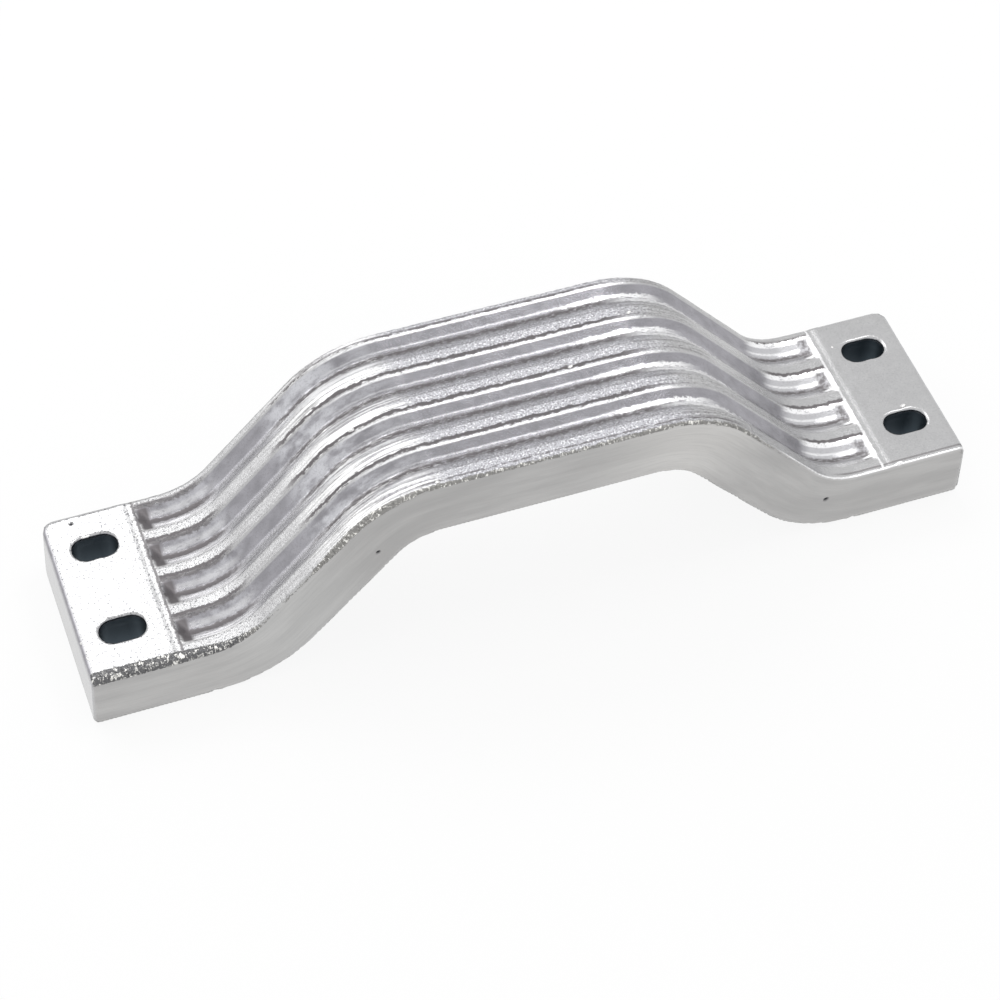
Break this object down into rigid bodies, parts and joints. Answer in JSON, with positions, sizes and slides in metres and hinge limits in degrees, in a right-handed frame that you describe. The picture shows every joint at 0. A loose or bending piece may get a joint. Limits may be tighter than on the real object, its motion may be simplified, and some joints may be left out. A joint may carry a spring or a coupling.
{
  "type": "sacrificial anode",
  "caption": "Cast aluminium bar anode that arches between two slotted bolting pads, with grooves running lengthwise over both S-bends.",
  "frame": {"origin": "on the mounting plane, at the middle of the four bolting slots", "axes": "+X along the bar, +Y from the ground side to the mould side, +Z out of the mounting plane towards the crown of the arch"},
  "size_m": [0.2114, 0.0469, 0.0526],
  "materials": {
    "cast_aluminium": "bright as-cast skin, with one long side ground flat"
  },
  "bodies": {
    "root": {"anode_casting": "cast_aluminium"}
  },
  "joints": []
}
